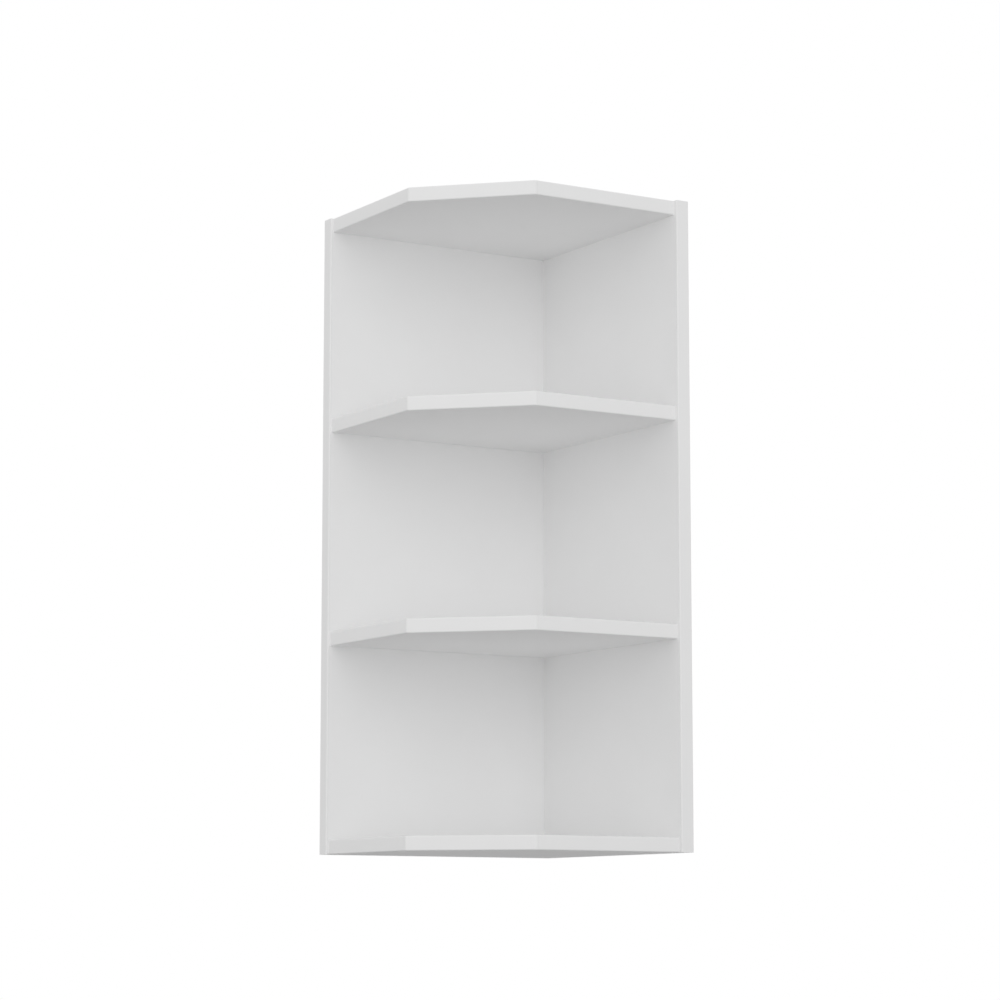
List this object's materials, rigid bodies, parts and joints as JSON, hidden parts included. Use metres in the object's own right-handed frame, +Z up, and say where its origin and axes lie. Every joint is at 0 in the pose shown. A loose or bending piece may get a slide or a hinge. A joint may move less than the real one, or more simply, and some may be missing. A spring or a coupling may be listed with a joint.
{
  "type": "corner wall cabinet",
  "caption": "Open corner wall cabinet: a wall panel and a side panel at right angles, with fixed pentagonal boards between them as top, shelves and bottom.",
  "frame": {"origin": "on the wall face, at the cabinet's bottom edge, in the middle of its width", "axes": "+X along the wall towards the neighbouring cabinet, +Y into the wall, +Z up"},
  "size_m": [0.3, 0.292, 0.716],
  "materials": {
    "white_board": "matte",
    "white_edging": "satin",
    "beech_dowel": "matte",
    "zinc_steel": "satin"
  },
  "bodies": {
    "root": {"wall_panel": "white_board", "side_panel": "white_board", "top_board": "white_board", "upper_shelf": "white_board", "lower_shelf": "white_board", "bottom_board": "white_board", "top_board_end_band": "white_edging", "top_board_corner_band": "white_edging", "top_board_front_band": "white_edging", "upper_shelf_end_band": "white_edging", "upper_shelf_corner_band": "white_edging", "upper_shelf_front_band": "white_edging", "lower_shelf_end_band": "white_edging", "lower_shelf_corner_band": "white_edging", "lower_shelf_front_band": "white_edging", "bottom_board_end_band": "white_edging", "bottom_board_corner_band": "white_edging", "bottom_board_front_band": "white_edging", "wall_panel_front_band": "white_edging", "wall_panel_top_band": "white_edging", "wall_panel_bottom_band": "white_edging", "side_panel_front_band": "white_edging", "side_panel_top_band": "white_edging", "side_panel_bottom_band": "white_edging", "top_board_dowels": "beech_dowel", "upper_shelf_dowels": "beech_dowel", "lower_shelf_dowels": "beech_dowel", "bottom_board_dowels": "beech_dowel", "corner_dowels": "beech_dowel", "top_board_screws": "zinc_steel", "upper_shelf_screws": "zinc_steel", "lower_shelf_screws": "zinc_steel", "bottom_board_screws": "zinc_steel", "corner_screws": "zinc_steel", "left_hanger_plate": "zinc_steel", "right_hanger_plate": "zinc_steel", "hanger_screws": "zinc_steel"}
  },
  "joints": []
}
